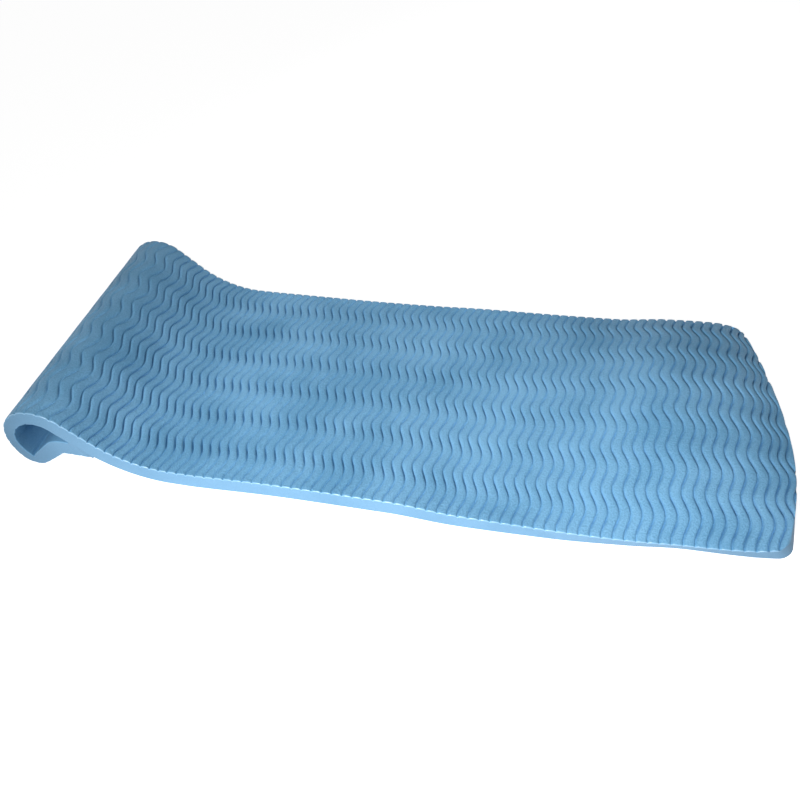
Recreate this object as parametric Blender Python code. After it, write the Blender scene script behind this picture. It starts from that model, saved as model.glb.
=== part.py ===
# Pool float: one long sheet of closed-cell foam with a ribbed face. Its head end is rolled
# over and under and bonded to its own underside, which leaves a hollow pillow.
# Metres, Z up, the foot end towards +X, the width along Y, the lying part resting on Z = 0.
# A place on the sheet is given by s, the way along the middle of its thickness from the foot,
# y across it from the near long edge, and n, the height above that middle layer.
import math
from functools import lru_cache

import bmesh
import bpy
from mathutils import Vector

MM = 0.001

# Sheet
WIDTH = 650 * MM
THICK = 45 * MM
LYING = 1359.5 * MM  # middle of the foot edge to where the sheet starts to rise
FOOT_BOW = 40 * MM  # how far the middle of the foot edge stands out past its corners
CORNER = 22 * MM  # plan radius of the two foot corners
CORE_SHARE = 0.55  # share of the thickness taken by the plain core under the ribbed face
FIT_GAP = 0.3 * MM  # play between two pieces that lie on each other

# Ribs
RIB_PITCH = 23 * MM
FIRST_GROOVE = 17.2 * MM
CROWD = 15 * MM  # how much the first ribs are crowded together, in all
CROWD_RIBS = 3  # ribs that share it
CROWD_POWER = 1.5  # how quickly the crowding dies out over them
GROOVE_DEPTH = 5 * MM
GROOVE_HALF = 5.5 * MM  # half the width of a groove at the rib crests
FLAT_FROM = 1600 * MM  # station where the grooves start to be stretched flat over the roll
FLAT_OVER = 75 * MM
FLAT_SHARE = 0.22  # share of their depth that stays
WAVE_LENGTH = 99.65 * MM
WAVE_SWING = 7.1 * MM
WAVE_LEAD = math.radians(65)  # phase of the wave at the near long edge
SPLIT_RIB = 58  # groove at which the lying face ends and the rolled face starts

# Lie of the soft sheet: underside heights at three lines along it
LIE_AT = (0.0, 0.08, 0.16, 0.255, 0.37, 0.51, 0.625, 0.785, 0.96)  # shares of LYING
LIE_NEAR = (80 * MM, 33.5 * MM, 14 * MM, 3.5 * MM, 0, 0, 13 * MM, 12 * MM, 0)
LIE_MIDDLE = (71 * MM, 89 * MM, 93 * MM, 66 * MM, 35.5 * MM, 18.5 * MM, 16 * MM, 13 * MM, 0)
LIE_FAR = (26 * MM, 51 * MM, 47 * MM, 29 * MM, 22 * MM, 17.5 * MM, 9 * MM, 2 * MM, 0)

# Roll: bends of the middle layer from the lying part up, over, down and back under
NECK_RADIUS = 275 * MM
NECK_RISE = math.radians(43.6)
CROWN_RADIUS = 71 * MM
CROWN_END = math.radians(-28)
BACK_RADIUS = 96.5 * MM
BACK_END = math.radians(-120.9)
HEEL_RADIUS = 26 * MM
ROLL_LIFT = 0.5 * MM  # the roll only just clears the floor
TAIL_FLAT = 60 * MM
TAIL_SLOPE = math.radians(-1)
TAIL_BEND = 37 * MM
BOND_BACK = 2 * MM  # the tail meets the neck this far before the neck's bend ends
GLUE = 1.2 * MM
GLUE_INSET = 2 * MM
GLUE_STEPS = 8
ROLL_THIN = 0.45  # the foam is squeezed by this share where it turns under
THIN_REACH = 108 * MM

# Fineness of the surfaces
LIE_STEP = 4 * MM
CORE_STEP = 62 * MM
BEND_STEP = math.radians(9)
HEEL_STEP = math.radians(18)
FADE = 190 * MM  # the bow of the foot edge fades out of the plain rows over this length
PLAIN_COLUMNS = 6
MERGE = 2 * MM

FOOT_COLOUR = (0.16, 0.38, 0.60, 1.0)
BAND_COLOUR = (0.26, 0.53, 0.79, 1.0)
GLUE_COLOUR = (0.55, 0.62, 0.66, 1.0)


def clear_scene():
    """Remove whatever the new file starts with."""
    for thing in list(bpy.data.objects):
        bpy.data.objects.remove(thing, do_unlink=True)


# Lie of the sheet
def smooth_through(places, heights, at):
    """Monotone cubic through the stations, so that two equal heights stay level between."""
    rise = [(b - a) / (q - p) for p, q, a, b in zip(places, places[1:], heights, heights[1:])]
    slopes = [rise[0]]
    for left, right in zip(rise, rise[1:]):
        slopes.append(2 * left * right / (left + right) if left * right > 0 else 0.0)
    slopes.append(rise[-1])
    i = 0
    while i < len(rise) - 1 and at > places[i + 1]:
        i += 1
    span = places[i + 1] - places[i]
    t = min((at - places[i]) / span, 1.0)
    start = heights[i] * (1 + 2 * t) * (1 - t) ** 2 + slopes[i] * span * t * (1 - t) ** 2
    return start + heights[i + 1] * t * t * (3 - 2 * t) + slopes[i + 1] * span * t * t * (t - 1)


@lru_cache(maxsize=None)
def lie_heights(s):
    """Heights of the near edge, the middle line and the far edge over the floor."""
    return [smooth_through(LIE_AT, line, s / LYING) for line in (LIE_NEAR, LIE_MIDDLE, LIE_FAR)]


def lie_height(s, y):
    """Height of the underside over the floor where the sheet lies."""
    near, middle, far = lie_heights(s)
    v = y / WIDTH
    return near * (1 - v) * (1 - 2 * v) + middle * 4 * v * (1 - v) + far * v * (2 * v - 1)


def lean(s, y):
    """Sine of the angle at which the lying sheet rises towards the far edge."""
    near, middle, far = lie_heights(s)
    v = y / WIDTH
    return (near * (4 * v - 3) + middle * 4 * (1 - 2 * v) + far * (4 * v - 1)) / WIDTH


def plan_y(s, y):
    """World Y of a place; the sheet keeps its width, so it draws in where it leans."""
    halfway = (y + WIDTH / 2) / 2
    level = [math.sqrt(1 - lean(s, at) ** 2) for at in (WIDTH / 2, halfway, y)]
    return (y - WIDTH / 2) * (level[0] + 4 * level[1] + level[2]) / 6


@lru_cache(maxsize=None)
def lying_line(y):
    """Points (x, z, tilt) of the middle layer at equal steps of s, x = 0 at the neck."""
    count = round(LYING / LIE_STEP)
    step = LYING / count
    heights = [lie_height(i * step, y) for i in range(count + 1)]
    x = 0.0
    line = [(0.0, heights[-1] + THICK / 2, 0.0)]
    for i in range(count, 0, -1):
        drop = heights[i] - heights[i - 1]
        x += math.sqrt(step ** 2 - drop ** 2)
        line.append((x, heights[i - 1] + THICK / 2, math.asin(drop / step)))
    return line[::-1]


# Roll
def heading(angle):
    """Way of travel at an angle above the line towards the head."""
    return Vector((-math.cos(angle), math.sin(angle)))


def face_side(angle):
    """Direction in which the ribbed face looks."""
    return Vector((math.sin(angle), math.cos(angle)))


def bend_end(start, angle, turn, radius):
    """End point and angle of a bend; a positive turn lifts the sheet."""
    last = angle + turn
    side = radius if turn > 0 else -radius
    moved = Vector((math.sin(angle) - math.sin(last), math.cos(angle) - math.cos(last)))
    return start + side * moved, last


def thickness(s):
    """Thickness of the sheet, squeezed where the roll turns under."""
    away = (s - turn_station()) / THIN_REACH
    return THICK * (1 - ROLL_THIN * math.exp(-away * away))


def fixed_lengths(ramp):
    """Lengths of the neck, the ramp, the crown and the back."""
    crown = CROWN_RADIUS * (NECK_RISE - CROWN_END)
    return NECK_RADIUS * NECK_RISE, ramp, crown, BACK_RADIUS * (CROWN_END - BACK_END)


@lru_cache(maxsize=None)
def ramp_length():
    """Length of the straight ramp that lets the underside of the roll come to the floor."""
    point = Vector((0.0, THICK / 2))
    angle = 0.0
    bends = ((NECK_RISE, NECK_RADIUS), (CROWN_END - NECK_RISE, CROWN_RADIUS),
             (BACK_END - CROWN_END, BACK_RADIUS))
    for turn, radius in bends:
        point, angle = bend_end(point, angle, turn, radius)
    centre = point - HEEL_RADIUS * face_side(angle)
    squeezed = (math.pi / 2 + BACK_END) * BACK_RADIUS - (math.pi + BACK_END) * HEEL_RADIUS
    low = THICK * (1 - ROLL_THIN * math.exp(-(squeezed / THIN_REACH) ** 2))
    return (HEEL_RADIUS + low / 2 + ROLL_LIFT - centre.y) / math.sin(NECK_RISE)


@lru_cache(maxsize=None)
def turn_station():
    """Station at which the roll's back stands upright."""
    neck, ramp, crown, back = fixed_lengths(ramp_length())
    return LYING + neck + ramp + crown + BACK_RADIUS * (CROWN_END + math.pi / 2)


def neck_centre():
    """Centre of the bend between the lying part and the ramp."""
    return Vector((0.0, THICK / 2 + NECK_RADIUS))


@lru_cache(maxsize=None)
def bond_frame():
    """Middle of the tail's cut end, with the neck's own direction and face side there."""
    angle = NECK_RISE - BOND_BACK / NECK_RADIUS
    below = NECK_RADIUS + THICK / 2 + GLUE + 2 * FIT_GAP
    return neck_centre() - below * face_side(angle), heading(angle), face_side(angle)


@lru_cache(maxsize=None)
def roll_pieces():
    """Pieces of the middle layer past the neck: start station, start, angle, turn, radius."""
    pieces = []
    s = LYING
    point = Vector((0.0, THICK / 2))
    angle = 0.0

    def bend(turn, radius):
        nonlocal s, point, angle
        pieces.append((s, point, angle, turn, radius, abs(turn) * radius))
        s += abs(turn) * radius
        point, angle = bend_end(point, angle, turn, radius)

    def run(length):
        nonlocal s, point
        pieces.append((s, point, angle, 0.0, 0.0, length))
        s += length
        point = point + length * heading(angle)

    bend(NECK_RISE, NECK_RADIUS)
    run(ramp_length())
    bend(CROWN_END - NECK_RISE, CROWN_RADIUS)
    bend(BACK_END - CROWN_END, BACK_RADIUS)
    # The tail leaves the heel along a tangent that passes the corner of the tail bend.
    last = -math.pi - TAIL_SLOPE
    corner = bond_frame()[0] - TAIL_FLAT * heading(last)
    centre = point - HEEL_RADIUS * face_side(angle)
    across = corner - centre
    around = math.atan2(across.y, across.x) - math.acos(HEEL_RADIUS / across.length)
    off = centre + HEEL_RADIUS * Vector((math.cos(around), math.sin(around)))
    way = corner - off
    tail = math.atan2(way.y, -way.x) - 2 * math.pi
    bend(tail - angle, HEEL_RADIUS)
    cut = TAIL_BEND * math.tan((last - tail) / 2)
    run(way.length - cut)
    bend(last - tail, TAIL_BEND)
    run(TAIL_FLAT - cut)
    return pieces


def middle_layer(s, y):
    """Point (x, z) and tilt of the middle layer."""
    if s < LYING:
        line = lying_line(y)
        at = s / LYING * (len(line) - 1)
        i = min(int(at), len(line) - 2)
        mix = at - i
        low, high = line[i], line[i + 1]
        return [a + (b - a) * mix for a, b in zip(low, high)]
    piece = [p for p in roll_pieces() if p[0] <= s][-1]
    begin, point, angle, turn, radius, _ = piece
    if turn == 0.0:
        point = point + (s - begin) * heading(angle)
    else:
        part = math.copysign((s - begin) / radius, turn)
        point, angle = bend_end(point, angle, part, radius)
    return point.x, point.y, angle


def sheet_point(s, y, n):
    """World point of a place on the sheet."""
    x, z, tilt = middle_layer(s, y)
    out = Vector((math.sin(tilt), -lean(s, y), math.cos(tilt))).normalized()
    return Vector((x, plan_y(s, y), z)) + n * out


def foot_edge(y):
    """Station of the bowed foot edge with its rounded corners."""
    v = y / WIDTH
    edge = FOOT_BOW * (1 - 4 * v * (1 - v))
    inside = min(y, WIDTH - y)
    if inside < CORNER:
        edge += CORNER - math.sqrt(CORNER ** 2 - (CORNER - inside) ** 2)
    return edge


def tail_end(n):
    """Station at which the tail's slanted cut end is met at height n."""
    middle, _, out = bond_frame()
    begin, point, angle, _, _, _ = roll_pieces()[-1]
    start = point + n * face_side(angle)
    return begin + (middle - start).dot(out) / heading(angle).dot(out)


def interface(s):
    """Height of the layer between core and ribbed face."""
    return thickness(s) * (CORE_SHARE - 0.5)


# Ribs
def wave(y):
    """How far a groove swings towards the head at y."""
    return WAVE_SWING * math.sin(2 * math.pi * y / WAVE_LENGTH + WAVE_LEAD)


def column_wave(y, field):
    """Swing at a column; between the edges the columns sit at the eighths of the wave."""
    # Pushed out so that the polygon through the eighths spans as much area as the wave.
    gain = (2 / math.pi) / (0.75 * math.sin(math.pi / 4))
    return wave(y) * (gain if field else 1.0)


def corner_columns():
    """Columns that carry the rounded foot corner on the near side."""
    return [0.0, CORNER * (1 - math.cos(math.pi / 4)), CORNER]


def mirrored(near, middle):
    """Columns from edge to edge, the far ones a mirror of the near ones."""
    return near + middle + [WIDTH - y for y in near[::-1]]


@lru_cache(maxsize=None)
def rib_columns():
    """Columns of the ribbed face; field ones sit at the eighths of the wave."""
    quarter = WAVE_LENGTH / 4
    first = WAVE_LENGTH * (math.pi / 4 - WAVE_LEAD) / (2 * math.pi)
    inside = CORNER + quarter / 3
    places = [first + m * quarter for m in range(-2, int(WIDTH / quarter) + 3)]
    field = [y for y in places if inside < y < WIDTH - inside]
    return [(y, y in field) for y in mirrored(corner_columns(), field)]


def groove_depth(s):
    """Depth of the grooves as a share of the thickness."""
    t = min(max((s - FLAT_FROM) / FLAT_OVER, 0.0), 1.0)
    return GROOVE_DEPTH / THICK * (1 - (1 - FLAT_SHARE) * t * t * (3 - 2 * t))


def rib_height(s, groove):
    """Height of the ribbed face; groove runs from 0 on a rib to 1 in a groove."""
    return thickness(s) * (0.5 - groove * groove_depth(s))


def rib_point(s, column, groove):
    """Point on the ribbed face."""
    return sheet_point(s, column[0], rib_height(s, groove))


def groove_station(k, column):
    """Station of groove k at a column."""
    y, field = column
    crowded = CROWD * (1 - max(0.0, 1 - k / CROWD_RIBS) ** CROWD_POWER)
    return FIRST_GROOVE + k * RIB_PITCH - crowded + column_wave(y, field)


def groove_share(s, column):
    """1 in a groove, 0 on a rib, for a place that need not lie on a groove line."""
    nearest = max(0, round((s - FIRST_GROOVE) / RIB_PITCH))
    tries = range(max(0, nearest - 1), nearest + 3)
    away = min(abs(s - groove_station(k, column)) for k in tries)
    return max(0.0, 1 - away / GROOVE_HALF)


# Meshes
def zip_rows(bm, lower, upper):
    """Triangles between two rows of (key, vertex) that both run the same way."""
    i = 0
    j = 0
    while i < len(lower) - 1 or j < len(upper) - 1:
        take_lower = j == len(upper) - 1
        if i < len(lower) - 1 and not take_lower:
            take_lower = lower[i + 1][0] <= upper[j + 1][0] + 1e-9
        if take_lower:
            corners = (lower[i][1], lower[i + 1][1], upper[j][1])
            i += 1
        else:
            corners = (lower[i][1], upper[j + 1][1], upper[j][1])
            j += 1
        if len(set(corners)) == 3:
            bm.faces.new(corners)


def side_row(rows, stations, end):
    """One edge of a stack of rows as (station, vertex), each vertex once."""
    line = []
    for row, keys in zip(rows, stations):
        vertex = row[end][1]
        if not line or line[-1][1] is not vertex:
            line.append((keys[end], vertex))
    return line


def finish(name, bm, colour, rough, sharp):
    """Turn the closed mesh into a named object with its own material."""
    bmesh.ops.recalc_face_normals(bm, faces=bm.faces)
    for face in bm.faces:
        face.smooth = True
    mesh = bpy.data.meshes.new(name)
    bm.to_mesh(mesh)
    bm.free()
    mesh.set_sharp_from_angle(angle=sharp)
    material = bpy.data.materials.new(name)
    material.use_nodes = True
    shader = material.node_tree.nodes["Principled BSDF"]
    shader.inputs["Base Color"].default_value = colour
    shader.inputs["Roughness"].default_value = rough
    mesh.materials.append(material)
    thing = bpy.data.objects.new(name, mesh)
    bpy.context.scene.collection.objects.link(thing)
    return thing


def plain_columns():
    """Columns of the plain surfaces where the sheet lies."""
    span = (WIDTH - 2 * CORNER) / (PLAIN_COLUMNS + 1)
    return mirrored(corner_columns(), [CORNER + span * (i + 1) for i in range(PLAIN_COLUMNS)])


def lying_rows():
    """Rows (s, y) of the plain surfaces from the foot edge to where the sheet lies level."""
    end = LIE_AT[-1] * LYING
    count = round(end / CORE_STEP)
    rows = []
    for i in range(count + 1):
        s = end * i / count
        bow = max(0.0, 1 - s / FADE)
        rows.append([(s + foot_edge(y) * bow, y) for y in plain_columns()])
    return rows


def rolled_rows(n_of):
    """Rows (s, y) of the plain surfaces over the roll, ended by the tail's slanted cut."""
    stations = [LYING]
    for begin, _, _, turn, radius, length in roll_pieces():
        step = HEEL_STEP if radius == HEEL_RADIUS else BEND_STEP
        count = max(1, math.ceil(abs(turn) / step))
        stations += [begin + length * (i + 1) / count for i in range(count)]
    last = tail_end(n_of(stations[-1]))
    stations = [s for s in stations[:-1] if s < last - MERGE] + [last]
    return [[(s, 0.0), (s, WIDTH)] for s in stations]


def plain_surface(bm, rows, n_of):
    """Skin through rows of (s, y) at the height n_of gives; returns its vertex rows."""
    made = []
    for row in rows:
        made.append([(y, bm.verts.new(sheet_point(s, y, n_of(s)))) for s, y in row])
    for lower, upper in zip(made, made[1:]):
        zip_rows(bm, lower, upper)
    return made, [[s for s, _ in row] for row in rows]


def by_width(row):
    """The row with the real position of each vertex across the sheet as its key."""
    return [(vertex.co.y, vertex) for _, vertex in row]


def close_sides(bm, first, second):
    """Walls between the edges of two surfaces that face each other."""
    for end in (0, -1):
        zip_rows(bm, side_row(*first, end), side_row(*second, end))
        zip_rows(bm, by_width(first[0][end]), by_width(second[0][end]))


def build_core():
    """Plain foam core: the lying part, the roll and the tail in one piece."""
    bm = bmesh.new()

    def under(s):
        return -thickness(s) / 2

    def over(s):
        return interface(s) - FIT_GAP / 2

    lower = plain_surface(bm, lying_rows() + rolled_rows(under), under)
    upper = plain_surface(bm, lying_rows() + rolled_rows(over), over)
    close_sides(bm, lower, upper)
    return finish("foam_core", bm, BAND_COLOUR, 0.75, math.radians(35))


def rib_surface(bm, first_row, grooves, last_row, cut=None):
    """Ribbed skin between two rows (stations, shares); grooves is a list of (k, offset).
    Where the last row lies on a slanted cut, cut gives the station of the cut at a height."""
    columns = rib_columns()

    def row_of(stations, shares):
        points = zip(stations, columns, shares)
        return stations, [bm.verts.new(rib_point(*point)) for point in points]

    low_st, low = first_row = row_of(*first_row)
    high_st, high = last_row = row_of(*last_row)
    rows = [first_row]
    for k, offset in grooves:
        stations = []
        vertices = []
        for j, column in enumerate(columns):
            s = groove_station(k, column) + offset
            share = 0.0 if offset else 1.0
            end = min(high_st[j], cut(rib_height(s, share))) if cut else high_st[j]
            if s < low_st[j] + MERGE:
                s, vertex = low_st[j], low[j]
            elif s > end - MERGE or rows[-1][1][j] is high[j]:
                s, vertex = high_st[j], high[j]
            else:
                vertex = bm.verts.new(rib_point(s, column, share))
            stations.append(s)
            vertices.append(vertex)
        rows.append((stations, vertices))
    rows.append(last_row)
    made = [[(column[0], vertex) for column, vertex in zip(columns, row)] for _, row in rows]
    for lower, upper in zip(made, made[1:]):
        zip_rows(bm, lower, upper)
    return made, [stations for stations, _ in rows]


def notch_line(bm, low, high, column, cut):
    """Line along a long wall just under the notches, so that no face of the wall folds."""
    line = [low[0]]
    first = round((low[0][0] - FIRST_GROOVE) / RIB_PITCH)
    last = round((low[-1][0] - FIRST_GROOVE + CROWD) / RIB_PITCH)
    for k in range(first, last + 1):
        groove = groove_station(k, column)
        for s in (groove, groove + RIB_PITCH / 2) if groove > LYING else (groove,):
            height = (interface(s) + rib_height(s, 1.0)) / 2
            end = min(high[-1][0], cut(height)) if cut else high[-1][0]
            if high[0][0] + MERGE < s < end - MERGE:
                line.append((s, bm.verts.new(sheet_point(s, column[0], height))))
    return line + [low[-1]]


def close_ribbed(bm, lower, upper, cut=None):
    """Walls of a ribbed face; cut gives the station of a slanted end at a height."""
    for end in (0, -1):
        low = side_row(*lower, end)
        high = side_row(*upper, end)
        line = notch_line(bm, low, high, rib_columns()[end], cut)
        zip_rows(bm, low, line)
        zip_rows(bm, line, high)
        zip_rows(bm, by_width(lower[0][end]), by_width(upper[0][end]))


def groove_lines(first, last):
    """Lines (k, offset) of the grooves first to last and of the rib shoulders between."""
    lines = []
    for k in range(first, last + 1):
        lines += [(k, -GROOVE_HALF), (k, 0.0), (k, GROOVE_HALF)]
    return lines


def face_underside(s):
    """Height of the underside of the ribbed face."""
    return interface(s) + FIT_GAP / 2


def across(stations):
    """Plain row (s, y) with one vertex under each column of the ribbed face."""
    return [(s, column[0]) for s, column in zip(stations, rib_columns())]


def split_row(side):
    """The split groove, half the play back on the given side of it."""
    stations = [groove_station(SPLIT_RIB, c) + side * FIT_GAP / 2 for c in rib_columns()]
    return stations, [1.0] * len(stations)


def build_lying_face():
    """Ribbed face over the lying part."""
    bm = bmesh.new()
    edge = [foot_edge(y) for y, _ in rib_columns()]
    foot = edge, [groove_share(s, column) for s, column in zip(edge, rib_columns())]
    lines = groove_lines(0, SPLIT_RIB)[:-2]
    upper = rib_surface(bm, foot, lines, split_row(-1))
    seam = across(split_row(-1)[0])
    rows = lying_rows()
    rows[-1] = across([rows[-1][0][0]] * len(rib_columns()))
    lower = plain_surface(bm, rows + [seam], face_underside)
    close_ribbed(bm, lower, upper)
    return finish("ribbed_face_lying", bm, FOOT_COLOUR, 0.6, math.radians(60))


def build_rolled_face():
    """Ribbed face from the split groove over the roll to the cut end of the tail."""
    bm = bmesh.new()
    last = tail_end(THICK / 2)
    shares = [groove_share(last, column) for column in rib_columns()]
    stations = [tail_end(rib_height(last, share)) for share in shares]
    most = math.ceil((last - FIRST_GROOVE + CROWD + 2 * WAVE_SWING) / RIB_PITCH)
    lines = groove_lines(SPLIT_RIB, most)[2:]
    upper = rib_surface(bm, split_row(1), lines, (stations, shares), tail_end)
    rows = rolled_rows(face_underside)
    for i in (0, -1):
        rows[i] = across([rows[i][0][0]] * len(shares))
    lower = plain_surface(bm, [across(split_row(1)[0])] + rows, face_underside)
    close_ribbed(bm, lower, upper, tail_end)
    return finish("ribbed_face_rolled", bm, FOOT_COLOUR, 0.6, math.radians(60))


def build_bond():
    """Glue between the tail's cut end and the underside of the neck."""
    bm = bmesh.new()
    middle, along, out = bond_frame()
    centre = neck_centre()
    ramp_start = centre - NECK_RADIUS * face_side(NECK_RISE)
    begin, point, angle, _, _, _ = roll_pieces()[-1]
    ends = [point + heading(angle) * (tail_end(n) - begin) + n * face_side(angle)
            for n in (-THICK / 2, THICK / 2 - GROOVE_DEPTH)]
    reach = sorted((p - middle).dot(along) for p in ends)
    low, high = reach[0] + GLUE_INSET, reach[1] - GLUE_INSET
    under = []
    over = []
    for i in range(GLUE_STEPS + 1):
        p = middle + along * (low + (high - low) * i / GLUE_STEPS) + out * FIT_GAP
        arm = p - centre
        if math.atan2(-arm.x, -arm.y) <= NECK_RISE:
            lift = arm.length - NECK_RADIUS - THICK / 2 - FIT_GAP
            q = p - arm.normalized() * lift
        else:
            lift = (ramp_start - p).dot(face_side(NECK_RISE)) - THICK / 2 - FIT_GAP
            q = p + face_side(NECK_RISE) * lift
        under.append(p)
        over.append(q)
    skins = []
    for side in (under, over):
        rows = []
        for p in side:
            ends = [(y, bm.verts.new((p.x, y - WIDTH / 2, p.y))) for y in (0.0, WIDTH)]
            rows.append(ends)
        for lower, upper in zip(rows, rows[1:]):
            zip_rows(bm, lower, upper)
        skins.append((rows, [[i, i] for i in range(len(rows))]))
    close_sides(bm, *skins)
    return finish("tail_bond", bm, GLUE_COLOUR, 0.5, math.radians(35))


def centre_on_floor(things):
    """Move all pieces so that the middle of their outer box stands over the origin."""
    xs = [v.co.x for thing in things for v in thing.data.vertices]
    middle = (min(xs) + max(xs)) / 2
    for thing in things:
        for v in thing.data.vertices:
            v.co.x -= middle


clear_scene()
centre_on_floor([build_core(), build_lying_face(), build_rolled_face(), build_bond()])
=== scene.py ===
import math

import bmesh
import bpy
import numpy as np
from mathutils import Matrix, Vector


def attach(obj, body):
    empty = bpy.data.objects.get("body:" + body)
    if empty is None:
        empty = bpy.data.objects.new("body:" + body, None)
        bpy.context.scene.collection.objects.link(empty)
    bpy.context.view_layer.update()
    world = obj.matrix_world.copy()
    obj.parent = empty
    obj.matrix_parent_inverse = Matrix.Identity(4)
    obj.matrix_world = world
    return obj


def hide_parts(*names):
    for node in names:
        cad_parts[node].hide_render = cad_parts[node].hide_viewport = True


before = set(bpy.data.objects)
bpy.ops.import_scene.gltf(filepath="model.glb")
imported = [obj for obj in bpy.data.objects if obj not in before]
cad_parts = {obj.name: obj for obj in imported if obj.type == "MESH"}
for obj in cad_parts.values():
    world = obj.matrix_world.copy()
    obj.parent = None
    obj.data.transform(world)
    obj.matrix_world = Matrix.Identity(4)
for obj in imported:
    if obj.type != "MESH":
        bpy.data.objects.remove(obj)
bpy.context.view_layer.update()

MM = 0.001

# Sheet, with the same sizes as the solids
WIDTH = 650 * MM
THICK = 45 * MM
LYING = 1359.5 * MM  # middle of the foot edge to where the sheet starts to rise
NECK_X = -480.5 * MM  # where that is in the frame of the model
FOOT_BOW = 40 * MM  # how far the middle of the foot edge stands out past its corners
CORNER = 22 * MM  # radius of the two corners at the foot

# Ribs, with the pitch and the waves of the solids. The grooves are deeper here and lie 2.7 mm
# nearer the foot, which is how the light shows them in the photograph.
RIB_PITCH = 23 * MM
FIRST_GROOVE = 14.5 * MM
CROWD = 15 * MM  # how much the first ribs are crowded together, in all
CROWD_RIBS = 3
CROWD_POWER = 1.5
# Depth of the grooves along the sheet: deeper at the foot and where it bends up to the
# pillow, and stretched flatter over the outside of the roll
DEEP_AT = (0, 130 * MM, 330 * MM, 1150 * MM, 1340 * MM, 1540 * MM, 1650 * MM, 1780 * MM,
           1900 * MM)
DEEP = (9.5 * MM, 9 * MM, 6.7 * MM, 6.6 * MM, 8.2 * MM, 8.2 * MM, 5.8 * MM, 5.4 * MM, 3 * MM)
BEND_SHARE = 0.6  # depth at the bends of a wave, as a share of the depth between them
WAVE_LENGTH = 99.65 * MM
WAVE_SWING = 7.1 * MM  # to each side
WAVE_LEAD = math.radians(65)  # where in its swing a wave meets the near edge
# Section of one rib from the groove on its foot side to the groove on its head side: a low
# crown between two soft shoulders, as it came out of the mould
RIB_ACROSS = (0.0, 0.03, 0.12, 0.18, 0.28, 0.42, 0.58, 0.72, 0.82, 0.88, 0.97)
RIB_FULL = (0.0, 0.12, 0.72, 0.88, 0.96, 1.0, 1.0, 0.96, 0.88, 0.72, 0.12)

# Lie of the soft sheet: underside heights at three lines along it
LIE_AT = (0.0, 0.08, 0.16, 0.255, 0.37, 0.51, 0.625, 0.785, 0.96)  # shares of LYING
LIE_NEAR = (80 * MM, 33.5 * MM, 14 * MM, 3.5 * MM, 0, 0, 13 * MM, 12 * MM, 0)
LIE_MIDDLE = (71 * MM, 89 * MM, 93 * MM, 66 * MM, 35.5 * MM, 18.5 * MM, 16 * MM, 13 * MM, 0)
LIE_FAR = (26 * MM, 51 * MM, 47 * MM, 29 * MM, 22 * MM, 17.5 * MM, 9 * MM, 2 * MM, 0)

# Roll: bends of the middle layer from the lying part up, over, down and back under. Angles are
# those of the way towards the head, over the level.
NECK_RADIUS = 275 * MM
NECK_RISE = math.radians(43.6)
CROWN_RADIUS = 71 * MM
CROWN_END = math.radians(-28)
BACK_RADIUS = 96.5 * MM
BACK_END = math.radians(-120.9)
HEEL_RADIUS = 26 * MM
ROLL_LIFT = 0.5 * MM  # height of the roll over the floor
TAIL_FLAT = 60 * MM
TAIL_SLOPE = math.radians(-1)
TAIL_BEND = 37 * MM
ROLL_THIN = 0.45  # share of the thickness that is squeezed away where the roll turns under
THIN_REACH = 108 * MM

# Bond between the tail's cut end and the underside of the neck
BOND_BACK = 2 * MM  # how far its middle lies before the end of the neck's bend
GLUE = 1.2 * MM
SEAM_GAPS = 0.6 * MM  # the two gaps beside the glue in the solids, which the glue fills here
GLUE_BITE = 1.4 * MM  # how far the glue reaches past its own layer, into the foam's cells
GLUE_STEPS = 8

# Fineness of the mesh
LIE_STEP = 4 * MM
COLUMN_STEP = 7.1 * MM
UNDER_EVERY = 3  # the plain underside has one column for each of this many of the face
EDGE_COLUMNS = (3 * MM, 6 * MM, 10 * MM, 15 * MM, 21 * MM)
EDGE_SOFT = 2 * MM  # radius of the softened knife-cut edges
SOFT_ROWS = (0.0, 0.29, 1.0)  # places of the rows on a softened edge, as shares of its radius
WALL_LIP = 0.8 * MM  # flat strip that keeps the softened edge narrow
WALL_DROP = 4 * MM  # how far under the grooves the cut face goes over to long strips
RIM_COLUMNS = 2  # columns of faces in the pressed rim along each long edge, whose lighter colour is a painted highlight
END_ROUNDS = 4  # rounds that settle where the ribs meet the slanted cut of the tail
MERGE = 0.3 * MM  # rows that come this close to a softened edge run along it
SAME_POINT = 0.02 * MM
NO_LENGTH = 0.01 * MM
SHARP_ANGLE = math.radians(50)

# Folds of the squeezed inner skin in the hollow of the pillow
FOLD_LENGTH = 27 * MM
FOLD_DEPTH = 1.6 * MM
FOLD_SWAY = 7 * MM  # how far a fold strays along the sheet
FOLD_SWAY_TURN = 5.2  # radians of that sway over the width
FOLD_SWAY_LEAD = 0.6
FOLD_FADE_IN = 40 * MM
FOLD_FADE_OUT = 60 * MM
FOLD_PAST = 30 * MM  # how far the folds run on past the lowest place of the roll
CREASE_DEPTH = 6 * MM  # the inner skin is pinched to a crease where the sheet turns under
CREASE_REACH = 9 * MM


# Shape of the sheet
def smooth_through(places, heights, at):
    """Monotone cubic through the stations."""
    places = np.array(places)
    heights = np.array(heights)
    rise = np.diff(heights) / np.diff(places)
    both = rise[:-1] * rise[1:]
    total = rise[:-1] + rise[1:]
    inner = np.where(both > 0, 2 * both / np.where(both > 0, total, 1.0), 0.0)
    slopes = np.concatenate([rise[:1], inner, rise[-1:]])
    i = np.clip(np.searchsorted(places, at) - 1, 0, len(rise) - 1)
    span = places[i + 1] - places[i]
    t = np.clip((at - places[i]) / span, 0.0, 1.0)
    start = heights[i] * (1 + 2 * t) * (1 - t) ** 2 + slopes[i] * span * t * (1 - t) ** 2
    return start + heights[i + 1] * t * t * (3 - 2 * t) + slopes[i + 1] * span * t * t * (t - 1)


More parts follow.
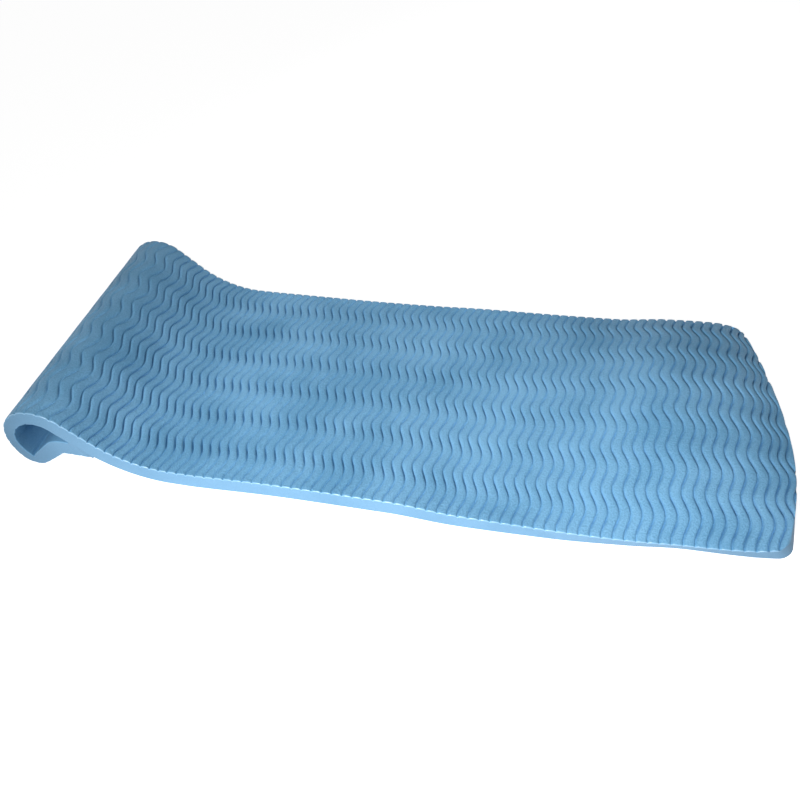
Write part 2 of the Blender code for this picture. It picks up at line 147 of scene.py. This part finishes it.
def lie_heights(s):
    """Heights of the near edge, the middle line and the far edge over the floor."""
    return [smooth_through(LIE_AT, line, s / LYING) for line in (LIE_NEAR, LIE_MIDDLE, LIE_FAR)]


def lie_height(s, y):
    """Height of the underside over the floor where the sheet lies."""
    near, middle, far = lie_heights(s)
    v = y / WIDTH
    return near * (1 - v) * (1 - 2 * v) + middle * 4 * v * (1 - v) + far * v * (2 * v - 1)


def lean(s, y):
    """Sine of the angle at which the lying sheet rises towards the far edge."""
    near, middle, far = lie_heights(s)
    v = y / WIDTH
    return (near * (4 * v - 3) + middle * 4 * (1 - 2 * v) + far * (4 * v - 1)) / WIDTH


def plan_y(s, y):
    """World Y of a place; the sheet keeps its width, so it draws in where it leans."""
    level = [np.sqrt(1 - lean(s, at) ** 2) for at in (WIDTH / 2, (y + WIDTH / 2) / 2, y)]
    return (y - WIDTH / 2) * (level[0] + 4 * level[1] + level[2]) / 6


def heading(angle):
    """Way of travel at an angle above the line towards the head."""
    return np.array((-math.cos(angle), math.sin(angle)))


def face_side(angle):
    """Direction in which the ribbed face looks."""
    return np.array((math.sin(angle), math.cos(angle)))


def bend_end(start, angle, turn, radius):
    """End point and angle of a bend; a positive turn lifts the sheet."""
    last = angle + turn
    side = radius if turn > 0 else -radius
    moved = np.array((math.sin(angle) - math.sin(last), math.cos(angle) - math.cos(last)))
    return start + side * moved, last


def ramp_length():
    """Length of the straight ramp that lets the underside of the roll come to the floor."""
    point = np.array((0.0, THICK / 2))
    angle = 0.0
    bends = ((NECK_RISE, NECK_RADIUS), (CROWN_END - NECK_RISE, CROWN_RADIUS),
             (BACK_END - CROWN_END, BACK_RADIUS))
    for turn, radius in bends:
        point, angle = bend_end(point, angle, turn, radius)
    centre = point - HEEL_RADIUS * face_side(angle)
    squeezed = (math.pi / 2 + BACK_END) * BACK_RADIUS - (math.pi + BACK_END) * HEEL_RADIUS
    low = THICK * (1 - ROLL_THIN * math.exp(-(squeezed / THIN_REACH) ** 2))
    return (HEEL_RADIUS + low / 2 + ROLL_LIFT - centre[1]) / math.sin(NECK_RISE)


RAMP = ramp_length()
CROWN_START = LYING + NECK_RADIUS * NECK_RISE + RAMP
BACK_START = CROWN_START + CROWN_RADIUS * (NECK_RISE - CROWN_END)
TURN_STATION = BACK_START + BACK_RADIUS * (CROWN_END + math.pi / 2)


def thickness(s):
    """Thickness of the sheet, squeezed where the roll turns under."""
    return THICK * (1 - ROLL_THIN * np.exp(-((s - TURN_STATION) / THIN_REACH) ** 2))


def bond_frame():
    """Middle of the tail's cut end, and the neck's face side there."""
    angle = NECK_RISE - BOND_BACK / NECK_RADIUS
    centre = np.array((0.0, THICK / 2 + NECK_RADIUS))
    below = NECK_RADIUS + THICK / 2 + GLUE + SEAM_GAPS
    return centre - below * face_side(angle), face_side(angle)


def roll_pieces():
    """Pieces past the neck's start: station, start point, angle, turn, radius and length."""
    pieces = []
    at = [LYING, np.array((0.0, THICK / 2)), 0.0]

    def bend(turn, radius):
        pieces.append((at[0], at[1], at[2], turn, radius, abs(turn) * radius))
        at[0] += abs(turn) * radius
        at[1], at[2] = bend_end(at[1], at[2], turn, radius)

    def run(length):
        pieces.append((at[0], at[1], at[2], 0.0, 0.0, length))
        at[0] += length
        at[1] = at[1] + length * heading(at[2])

    bend(NECK_RISE, NECK_RADIUS)
    run(RAMP)
    bend(CROWN_END - NECK_RISE, CROWN_RADIUS)
    bend(BACK_END - CROWN_END, BACK_RADIUS)
    # The tail leaves the heel along a tangent that passes the corner of the tail bend.
    last = -math.pi - TAIL_SLOPE
    corner = bond_frame()[0] - TAIL_FLAT * heading(last)
    centre = at[1] - HEEL_RADIUS * face_side(at[2])
    across = corner - centre
    around = math.atan2(across[1], across[0]) - math.acos(HEEL_RADIUS / math.hypot(*across))
    off = centre + HEEL_RADIUS * np.array((math.cos(around), math.sin(around)))
    way = corner - off
    tail = math.atan2(way[1], -way[0]) - 2 * math.pi
    bend(tail - at[2], HEEL_RADIUS)
    cut = TAIL_BEND * math.tan((last - tail) / 2)
    run(math.hypot(*way) - cut)
    bend(last - tail, TAIL_BEND)
    run(TAIL_FLAT - cut)
    return pieces


ROLL = roll_pieces()
HEEL = ROLL[4]
HEEL_MIDDLE = HEEL[0] + HEEL[5] / 2  # station in the middle of the last tight bend


def tail_end(n):
    """Stations at which the tail's slanted cut end is met at a row of heights."""
    middle, out = bond_frame()
    begin, point, angle = ROLL[-1][:3]
    start = point[:, None] + face_side(angle)[:, None] * np.atleast_1d(n)
    return begin + (middle @ out - start.T @ out) / (heading(angle) @ out)


def tail_end_grid(n):
    """The same for a grid of heights."""
    return tail_end(n.ravel()).reshape(n.shape)


def lying_layer(s, y):
    """Middle layer (x, z, tilt) of the lying part for a grid of stations."""
    count = round(LYING / LIE_STEP)
    step = LYING / count
    line = np.arange(count + 1)[:, None] * step
    heights = lie_height(line, y[None, :])
    drop = np.diff(heights, axis=0)
    ahead = np.sqrt(step ** 2 - drop ** 2)
    x = np.vstack([np.cumsum(ahead[::-1], axis=0)[::-1], np.zeros((1, len(y)))])
    tilt = np.vstack([np.arcsin(-drop / step), np.zeros((1, len(y)))])
    at = np.clip(s / step, 0, count - 1e-6)  # a hair short of the last row
    low = at.astype(int)
    mix = at - low
    found = []
    for grid in (x, heights + THICK / 2, -tilt):
        a = np.take_along_axis(grid, low, axis=0)
        b = np.take_along_axis(grid, low + 1, axis=0)
        found.append(a + (b - a) * mix)
    return found


def sheet_points(s, y, n):
    """World points for grids of stations and heights; y is the row of columns."""
    x, z, tilt = lying_layer(s, y)
    for begin, point, angle, turn, radius, _ in ROLL:
        here = s >= begin
        if turn == 0.0:
            part = s - begin
            px = point[0] + part * heading(angle)[0]
            pz = point[1] + part * heading(angle)[1]
            pt = np.full_like(s, angle)
        else:
            side = radius if turn > 0 else -radius
            pt = angle + (s - begin) / side
            px = point[0] + side * (math.sin(angle) - np.sin(pt))
            pz = point[1] + side * (math.cos(angle) - np.cos(pt))
        x = np.where(here, px, x)
        z = np.where(here, pz, z)
        tilt = np.where(here, pt, tilt)
    across = np.broadcast_to(y, s.shape)
    out = np.stack([np.sin(tilt), -lean(s, across), np.cos(tilt)], axis=-1)
    out /= np.linalg.norm(out, axis=-1, keepdims=True)
    middle = np.stack([x + NECK_X, plan_y(s, across), z], axis=-1)
    return middle + n[..., None] * out


def foot_edge(y):
    """Station of the bowed foot edge with its rounded corners."""
    v = y / WIDTH
    inside = np.minimum(y, WIDTH - y)
    short = np.clip(CORNER - inside, 0.0, CORNER)
    return FOOT_BOW * (1 - 4 * v * (1 - v)) + CORNER - np.sqrt(CORNER ** 2 - short ** 2)


# Ribs, edges and folds
def groove_stations(y):
    """Stations of all grooves, a row for each groove and a column for each y."""
    count = int((tail_end(THICK / 2)[0] - FIRST_GROOVE + 2 * CROWD) / RIB_PITCH) + 2
    k = np.arange(count)[:, None]
    crowded = CROWD * (1 - np.maximum(0.0, 1 - k / CROWD_RIBS) ** CROWD_POWER)
    wave = WAVE_SWING * np.sin(2 * math.pi * y / WAVE_LENGTH + WAVE_LEAD)
    lines = FIRST_GROOVE + k * RIB_PITCH - crowded + wave[None, :]
    before = lines[:1] - RIB_PITCH * np.arange(2, 0, -1)[:, None]
    return np.vstack([before, lines])


def groove_share(s, y):
    """Depth of the grooves as a share of the thickness, less at the bends of the waves."""
    between = np.cos(2 * math.pi * y / WAVE_LENGTH + WAVE_LEAD) ** 2
    return np.interp(s, DEEP_AT, DEEP) * (BEND_SHARE + (1 - BEND_SHARE) * between) / THICK


def rib_rows(y):
    """Stations of the mesh rows for each column, and how full the ribs are at each row."""
    grooves = groove_stations(y)
    width = np.diff(grooves, axis=0)
    rows = grooves[:-1, None, :] + np.array(RIB_ACROSS)[None, :, None] * width[:, None, :]
    return rows.reshape(-1, len(y)), np.tile(np.array(RIB_FULL), len(width))


def fullness(s, rows, full):
    """How full the ribs are at a grid of stations: 0 in a groove and 1 on top of a rib."""
    found = [np.interp(s[:, j], rows[:, j], full) for j in range(s.shape[1])]
    return np.stack(found, axis=1)


def face_height(s, y, rise):
    """Height of the ribbed face over the middle layer where the ribs are this full."""
    return thickness(s) * (0.5 - groove_share(s, y) * (1 - rise))


def softened(distance):
    """How far a softened cut edge lies under the surface at a distance from the cut."""
    near = np.clip(EDGE_SOFT - distance, 0.0, EDGE_SOFT)
    return EDGE_SOFT - np.sqrt(EDGE_SOFT ** 2 - near ** 2)


def plain_height(s, y, to_edge):
    """Height of the plain side, with folds where the inner skin of the roll is squeezed."""
    sway = FOLD_SWAY * np.sin(y / WIDTH * FOLD_SWAY_TURN + FOLD_SWAY_LEAD)[None, :]
    inside = np.clip((s - CROWN_START) / FOLD_FADE_IN, 0, 1)
    inside = inside * np.clip((TURN_STATION + FOLD_PAST - s) / FOLD_FADE_OUT, 0, 1)
    fold = np.maximum(0.0, np.sin((s + sway) * 2 * math.pi / FOLD_LENGTH)) ** 2
    crease = CREASE_DEPTH * np.exp(-((s - HEEL_MIDDLE) / CREASE_REACH) ** 2)
    return -thickness(s) / 2 + softened(to_edge) + FOLD_DEPTH * inside * fold + crease


# Mesh of the sheet
def columns():
    """Places of the mesh columns across the sheet, and how many lie close to each edge."""
    near = [share * EDGE_SOFT for share in SOFT_ROWS] + list(EDGE_COLUMNS)
    count = round((WIDTH - 2 * near[-1]) / COLUMN_STEP)
    field = np.linspace(near[-1], WIDTH - near[-1], count + 1)[1:-1]
    return np.array(near + list(field) + [WIDTH - y for y in near[::-1]]), len(near)


def station_grid(y, rows, end):
    """Rows cut to the foot edge and to the end, and the distance of each point to a cut."""
    edge = foot_edge(y)
    slope = np.gradient(edge, y)
    slant = np.sqrt(1 + slope ** 2)
    soft = np.array(SOFT_ROWS)[:, None] * EDGE_SOFT
    first = edge[None, :] + soft * slant[None, :]
    last = end[None, :] - soft[::-1]
    inner = np.where(rows < first[-1:] + MERGE, first[-1:], rows)
    inner = np.where(inner > last[:1] - MERGE, last[:1], inner)
    grid = np.vstack([first, inner, last])
    to_end = np.minimum((grid - edge[None, :]) / slant[None, :], end[None, :] - grid)
    return grid, np.minimum(to_end, np.minimum(y, WIDTH - y)[None, :])


FACE, CUT, UNDER, RIM = 0, 1, 2, 3  # the sheet's material slots


class Shell:
    """Points and faces of the sheet while it is put together."""

    def __init__(self):
        self.points = []
        self.faces = []
        self.kinds = []
        self.count = 0

    def add(self, points):
        """Add a grid of points and return their numbers."""
        flat = points.reshape(-1, 3)
        self.points.append(flat)
        numbers = np.arange(self.count, self.count + len(flat)).reshape(points.shape[:-1])
        self.count += len(flat)
        return numbers

    def skin(self, numbers, kind, flip=False):
        """Four-sided faces over a grid of point numbers."""
        a, b = numbers[:-1, :-1], numbers[1:, :-1]
        c, d = numbers[1:, 1:], numbers[:-1, 1:]
        quads = np.stack([a, d, c, b] if flip else [a, b, c, d], axis=-1).reshape(-1, 4)
        self.faces += quads.tolist()
        self.kinds += np.broadcast_to(kind, a.shape).ravel().tolist()

    def zip(self, low, high, low_keys, high_keys, kind, flip=False):
        """Three-sided faces between two rows of points that run the same way."""
        i = 0
        j = 0
        while i < len(low) - 1 or j < len(high) - 1:
            take_low = j == len(high) - 1
            if i < len(low) - 1 and not take_low:
                take_low = low_keys[i + 1] <= high_keys[j + 1] + 1e-9  # equal, but for rounding
            if take_low:
                face = [low[i], low[i + 1], high[j]]
                i += 1
            else:
                face = [low[i], high[j + 1], high[j]]
                j += 1
            self.faces.append([int(p) for p in (face[::-1] if flip else face)])
            self.kinds.append(kind)


def wall_levels(s, y, n, side):
    """Stations and heights of the rows of a cut wall next to one face of the sheet."""
    lip = n - side * WALL_LIP
    levels = [(np.minimum(s, tail_end_grid(lip)), lip)]
    if side > 0:
        line = face_height(s, y, 0) - WALL_DROP
        levels.append((np.minimum(s, tail_end_grid(line)), line))
    return levels


def cut_sides(shell, y, ribbed, plain):
    """Knife-cut long sides: a narrow strip under the softened edge, then long strips."""
    grid, height, top = ribbed
    low_grid, low_height, under = plain
    for column, flip in ((0, False), (-1, True)):
        side = y[[column]]
        levels = wall_levels(grid[:, [column]], side, height[:, [column]], 1)
        levels += wall_levels(low_grid[:, [column]], side, low_height[:, [column]], -1)
        strips = [shell.add(sheet_points(s, side, n)) for s, n in levels]
        wall = np.hstack([top[:, [column]]] + strips + [under[:, [column]]])
        shell.skin(wall, CUT, flip)


def cut_ends(shell, y, low_y, ribbed, plain):
    """Cut ends: the foot edge and the slanted end of the tail."""
    grid, height, top = ribbed
    low_grid, low_height, under = plain
    for row, flip in ((0, False), (-1, True)):
        levels = wall_levels(grid[[row]], y, height[[row]], 1)
        upper = np.vstack([top[[row]]] + [shell.add(sheet_points(s, y, n)) for s, n in levels])
        s, n = wall_levels(low_grid[[row]], low_y, low_height[[row]], -1)[0]
        lower = np.vstack([shell.add(sheet_points(s, low_y, n)), under[[row]]])
        shell.skin(upper, CUT, flip)
        shell.zip(upper[-1], lower[0], y, low_y, CUT, not flip)
        shell.skin(lower, CUT, flip)


def foam_sheet():
    """The whole sheet as one closed mesh, with ribs, cut edges and the folded inner skin."""
    shell = Shell()
    y, edge_count = columns()
    rows, full = rib_rows(y)

    # Ribbed face. The cut end of the tail is slanted, so its station depends on the height.
    end = np.full(len(y), tail_end(THICK / 2)[0])
    for _ in range(END_ROUNDS):
        end = tail_end(face_height(end, y, fullness(end[None, :], rows, full)[0]))
    grid, to_edge = station_grid(y, rows, end)
    height = face_height(grid, y, fullness(grid, rows, full)) - softened(to_edge)
    top = shell.add(sheet_points(grid, y, height))
    kinds = np.full(top.shape[1] - 1, FACE)
    # The rim columns along each long edge are painted lighter than the ribs, a painted highlight.
    kinds[:RIM_COLUMNS] = kinds[-RIM_COLUMNS:] = RIM
    shell.skin(top, kinds, flip=True)

    # Underside, with fewer columns away from the cut edges
    picked = list(range(edge_count))
    picked += list(range(edge_count + 1, len(y) - edge_count - 1, UNDER_EVERY))
    picked += list(range(len(y) - edge_count, len(y)))
    low_y = y[picked]
    low_end = np.full(len(picked), tail_end(-THICK / 2)[0])
    low_grid, low_edge = station_grid(low_y, rows[:, picked], low_end)
    low_height = plain_height(low_grid, low_y, low_edge)
    under = shell.add(sheet_points(low_grid, low_y, low_height))
    shell.skin(under, UNDER)

    ribbed = (grid, height, top)
    plain = (low_grid, low_height, under)
    cut_sides(shell, y, ribbed, plain)
    cut_ends(shell, y, low_y, ribbed, plain)
    return shell


def linked(name, data):
    """New object in the scene."""
    thing = bpy.data.objects.new(name, data)
    bpy.context.scene.collection.objects.link(thing)
    return thing


def foam_object():
    """Blender object of the sheet, cleaned of doubled points, with sharp cut edges."""
    shell = foam_sheet()
    mesh = bpy.data.meshes.new("foam_sheet")
    mesh.from_pydata(np.vstack(shell.points).tolist(), [], shell.faces)
    mesh.polygons.foreach_set("material_index", shell.kinds)
    bm = bmesh.new()
    bm.from_mesh(mesh)
    bmesh.ops.remove_doubles(bm, verts=bm.verts, dist=SAME_POINT)
    bmesh.ops.dissolve_degenerate(bm, edges=bm.edges, dist=NO_LENGTH)
    for face in bm.faces:
        face.smooth = True
    bm.to_mesh(mesh)
    bm.free()
    mesh.set_sharp_from_angle(angle=SHARP_ANGLE)
    return linked("foam_sheet", mesh)


# Glue
def bond_section():
    """Points of the glue's lower and upper side, in pairs from one end of the cut to the other."""
    middle, out = bond_frame()
    along = heading(NECK_RISE - BOND_BACK / NECK_RADIUS)
    centre = np.array((0.0, THICK / 2 + NECK_RADIUS))
    begin, point, angle = ROLL[-1][:3]
    reach = []
    for n in (-THICK / 2, THICK / 2 - GLUE):
        corner = point + heading(angle) * (tail_end(n)[0] - begin) + n * face_side(angle)
        reach.append((corner - middle) @ along)
    low, high = sorted(reach)
    section = []
    for share in np.linspace(0.0, 1.0, GLUE_STEPS + 1):
        p = middle + along * (low + (high - low) * share)
        arm = centre - p
        if math.atan2(arm[0], arm[1]) <= NECK_RISE:
            lift = math.hypot(*arm) - NECK_RADIUS - THICK / 2
            up = arm / math.hypot(*arm)
        else:
            up = face_side(NECK_RISE)
            lift = (centre - p) @ up - NECK_RADIUS - THICK / 2
        section.append((p - out * GLUE_BITE, p + up * (lift + GLUE_BITE)))
    return section


def bond_strip():
    """Blender object of the glue, flush with the cut edges and pressed into the foam."""
    section = bond_section()
    ring = [p for p, _ in section] + [q for _, q in section[::-1]]
    points = [(x + NECK_X, side, z) for side in (-WIDTH / 2, WIDTH / 2) for x, z in ring]
    size = len(ring)
    faces = [(i, (i + 1) % size, (i + 1) % size + size, i + size) for i in range(size)]
    for i in range(GLUE_STEPS):
        quad = (i, i + 1, size - 2 - i, size - 1 - i)
        faces += [quad[::-1], tuple(k + size for k in quad)]
    mesh = bpy.data.meshes.new("glue_line")
    mesh.from_pydata(points, [], faces)
    return linked("glue_line", mesh)


# Materials
def paint(hex_colour):
    """Linear colour of an sRGB hex value."""
    parts = [int(hex_colour[i:i + 2], 16) / 255 for i in (1, 3, 5)]
    linear = [c / 12.92 if c <= 0.04045 else ((c + 0.055) / 1.055) ** 2.4 for c in parts]
    return (*linear, 1.0)


def add(tree, kind, inputs=None, **settings):
    """Add a node, set its settings, and link or set its inputs."""
    node = tree.nodes.new(kind)
    for name, value in settings.items():
        setattr(node, name, value)
    for name, value in (inputs or {}).items():
        if isinstance(value, bpy.types.NodeSocket):
            tree.links.new(value, node.inputs[name])
        else:
            node.inputs[name].default_value = value
    return node


def per_metre(size):
    """Noise scale that gives a pattern of this size, in metres."""
    return 1 / size


def new_material(name):
    """New material, and its node tree with nothing in it."""
    material = bpy.data.materials.new(name)
    material.use_nodes = True
    material.node_tree.nodes.clear()
    return material, material.node_tree


FOAM_IOR = 1.45
TONE_PATCH = 160 * MM  # size of the patches in which the foam's tone drifts
TONE_RANGE = (0.8, 1.2)  # sums of the two noises that give the darkest and the lightest tone


def foam_material(name, light, dark, grain, grain_height, roughness, specular):
    """Closed-cell vinyl foam: an even satin colour, a slow drift of tone and a fine grain."""
    material, tree = new_material(name)
    place = add(tree, "ShaderNodeTexCoord").outputs["Object"]
    drift = add(tree, "ShaderNodeTexNoise", {
        "Vector": place, "Scale": per_metre(TONE_PATCH), "Detail": 2.0, "Roughness": 0.5})
    cells = add(tree, "ShaderNodeTexNoise", {
        "Vector": place, "Scale": per_metre(grain), "Detail": 3.0, "Roughness": 0.62})
    both = add(tree, "ShaderNodeMath", {0: drift.outputs["Fac"], 1: cells.outputs["Fac"]},
               operation="ADD")
    tone = add(tree, "ShaderNodeMapRange", {
        "Value": both.outputs[0], "From Min": TONE_RANGE[0], "From Max": TONE_RANGE[1]})
    colour = add(tree, "ShaderNodeMix", {
        "Factor": tone.outputs["Result"], 6: paint(dark), 7: paint(light)}, data_type="RGBA")
    bump = add(tree, "ShaderNodeBump", {
        "Height": cells.outputs["Fac"], "Distance": grain_height, "Strength": 1.0})
    shader = add(tree, "ShaderNodeBsdfPrincipled", {
        "Base Color": colour.outputs[2], "Normal": bump.outputs["Normal"],
        "Roughness": roughness, "IOR": FOAM_IOR, "Specular IOR Level": specular})
    add(tree, "ShaderNodeOutputMaterial", {"Surface": shader.outputs["BSDF"]})
    return material


# Vinyl foam, moulded: the mould leaves a closed satin skin with a faint pebble grain. The real
# grain is about 0.8 mm; it is drawn at 3.5 mm, because a finer one would not show.
MOULDED_SKIN = foam_material("vinyl_foam_moulded_skin", "#7fb7de", "#669fc6",
                             3.5 * MM, 2.6 * MM, 0.46, 0.25)
# Vinyl foam, knife-cut: the blade opens the cells, so the edge is duller and a little greyer.
# The cells are under 1 mm wide; they are drawn at 2 mm, because finer ones would not show.
CUT_EDGE = foam_material("vinyl_foam_knife_cut", "#75a1c3", "#6a97b9",
                         2 * MM, 0.2 * MM, 0.62, 0.35)
# Vinyl foam, plain skin: the flat side, as the press leaves it. It is smooth and satin, and its
# low grain only breaks up the shine. That is drawn about as coarse as on the ribs, to show.
PLAIN_SKIN = foam_material("vinyl_foam_plain_skin", "#78aed3", "#6ca3c9",
                           4 * MM, 0.15 * MM, 0.5, 0.45)
# Vinyl foam, pressed: the knife irons the skin smooth along the cut, so it shines more. Its colour
# is also painted lighter than the ribs, a painted highlight where the edge catches light.
PRESSED_RIM_PAINTED_HIGHLIGHT = foam_material("vinyl_foam_pressed_rim_painted_highlight", "#8fc0e2", "#7aafd3",
                            3.5 * MM, 0.3 * MM, 0.28, 0.9)

GLUE_STREAK = 5 * MM  # width of the brush's streaks


def glue_material():
    """Contact glue, brushed: a thin dull film that takes the colour of the cut foam."""
    material, tree = new_material("contact_glue_brushed")
    place = add(tree, "ShaderNodeTexCoord").outputs["Object"]
    streaks = add(tree, "ShaderNodeTexNoise", {"Vector": place, "Scale": per_metre(GLUE_STREAK)})
    colour = add(tree, "ShaderNodeMix", {
        "Factor": streaks.outputs["Fac"], 6: paint("#6a97b9"), 7: paint("#75a1c3")},
        data_type="RGBA")
    shader = add(tree, "ShaderNodeBsdfPrincipled", {
        "Base Color": colour.outputs[2], "Roughness": 0.55})
    add(tree, "ShaderNodeOutputMaterial", {"Surface": shader.outputs["BSDF"]})
    return material


# The float
foam = foam_object()
for material in (MOULDED_SKIN, CUT_EDGE, PLAIN_SKIN, PRESSED_RIM_PAINTED_HIGHLIGHT):  # as the slots are numbered
    foam.data.materials.append(material)
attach(foam, "root")
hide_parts("foam_core", "ribbed_face_lying", "ribbed_face_rolled")

glue = bond_strip()
glue.data.materials.append(glue_material())
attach(glue, "root")
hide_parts("tail_bond")

# Floor and world
FLOOR_SIZE = 30.0
FLOOR_DROP = 0.2 * MM  # keeps the floor clear of the skin that lies on it
FLOOR_COLOUR = (0.86, 0.86, 0.86, 1.0)
FLOOR_LIFT = 0.83  # glow that brings the lit floor to white, and leaves it its shadow
WORLD_LIGHT = 0.17  # strength with which the white world lights the float


def looked_at(tree):
    """1 for rays that show a thing to the eye, straight, mirrored or through glass."""
    rays = add(tree, "ShaderNodeLightPath")
    straight = add(tree, "ShaderNodeMath", {
        0: rays.outputs["Is Camera Ray"], 1: rays.outputs["Is Transmission Ray"]},
        operation="MAXIMUM")
    every = add(tree, "ShaderNodeMath", {
        0: straight.outputs[0], 1: rays.outputs["Is Glossy Ray"]}, operation="MAXIMUM")
    return every.outputs[0]


def floor_material():
    """Matt white floor, lifted to white where it is looked at, but for the shadow."""
    material, tree = new_material("white_floor_paper")
    shade = add(tree, "ShaderNodeBsdfDiffuse", {"Color": FLOOR_COLOUR})
    lifted = add(tree, "ShaderNodeMath", {0: looked_at(tree), 1: FLOOR_LIFT},
                 operation="MULTIPLY")
    glow = add(tree, "ShaderNodeEmission", {"Strength": lifted.outputs[0]})
    both = add(tree, "ShaderNodeAddShader", {0: shade.outputs[0], 1: glow.outputs[0]})
    add(tree, "ShaderNodeOutputMaterial", {"Surface": both.outputs[0]})
    return material


def floor_object():
    """Large level floor just under the float."""
    half = FLOOR_SIZE / 2
    corners = [(-half, -half, 0), (half, -half, 0), (half, half, 0), (-half, half, 0)]
    mesh = bpy.data.meshes.new("floor")
    mesh.from_pydata(corners, [], [(0, 1, 2, 3)])
    mesh.materials.append(floor_material())
    floor = linked("floor", mesh)
    floor.location.z = -FLOOR_DROP
    return floor


def studio_world():
    """World that is white where it is looked at and lights the float softly from all around."""
    world = bpy.data.worlds.new("studio")
    world.use_nodes = True
    tree = world.node_tree
    tree.nodes.clear()
    level = add(tree, "ShaderNodeMapRange", {
        "Value": looked_at(tree), "To Min": WORLD_LIGHT, "To Max": 1.0})
    sky = add(tree, "ShaderNodeBackground", {
        "Color": (1, 1, 1, 1), "Strength": level.outputs["Result"]})
    add(tree, "ShaderNodeOutputWorld", {"Surface": sky.outputs["Background"]})
    return world


floor_object()
bpy.context.scene.world = studio_world()

# Lamps. The key is a soft-edged spot over the near side, a little towards the head end. It
# stands low, so that one side of each groove is in shade. The top one is a faint square softbox.
KEY_PLACE = (-0.65, -3.0, 1.85)
KEY_AIM = (0.1, -0.2, 0.0)
KEY_POWER = 640.0
KEY_RADIUS = 0.2
KEY_CONE = math.radians(42)
TOP_PLACE = (0.1, -0.1, 2.0)
TOP_AIM = (0.0, -0.1, 0.0)
TOP_POWER = 4.0
TOP_SIZE = 0.6


def hang(lamp, place, aim, power):
    """Hang a lamp so that it looks at a point and stays out of the picture."""
    lamp.energy = power
    thing = linked(lamp.name, lamp)
    thing.location = place
    thing.visible_camera = False
    way = Vector(aim) - Vector(place)
    thing.rotation_euler = way.to_track_quat("-Z", "Y").to_euler()


key = bpy.data.lights.new("key", "SPOT")
key.spot_size = KEY_CONE
key.spot_blend = 1.0
key.shadow_soft_size = KEY_RADIUS
hang(key, KEY_PLACE, KEY_AIM, KEY_POWER)

top = bpy.data.lights.new("top", "AREA")
top.shape = "SQUARE"
top.size = TOP_SIZE
hang(top, TOP_PLACE, TOP_AIM, TOP_POWER)

# Camera at the photograph's own view, found by fitting a pinhole to the outline and the grooves
IMAGE = 800  # pixels along each side of the frame
FOCAL = 705.4  # in the same pixels
CENTRE_ROW = 310  # row of the optical axis, which is above the middle of the frame
SENSOR = 36.0  # millimetres
CAMERA_PLACE = (0.2603, -1.1526, 1.371)
CAMERA_RIGHT = (0.98141, 0.18933, -0.0314)
CAMERA_AHEAD = (-0.16195, 0.72928, -0.66477)


def photo_camera():
    """Camera object of the fitted pinhole."""
    camera = bpy.data.cameras.new("camera")
    camera.sensor_width = SENSOR
    camera.lens = FOCAL / IMAGE * SENSOR
    camera.shift_y = (CENTRE_ROW - IMAGE / 2) / IMAGE
    right = Vector(CAMERA_RIGHT).normalized()
    ahead = Vector(CAMERA_AHEAD).normalized()
    right = (right - ahead * right.dot(ahead)).normalized()
    up = right.cross(ahead)
    turn = Matrix((right, up, -ahead)).transposed().to_4x4()
    eye = linked("camera", camera)
    eye.matrix_world = Matrix.Translation(CAMERA_PLACE) @ turn
    return eye


bpy.context.scene.camera = photo_camera()
bpy.context.scene.view_settings.view_transform = "Standard"
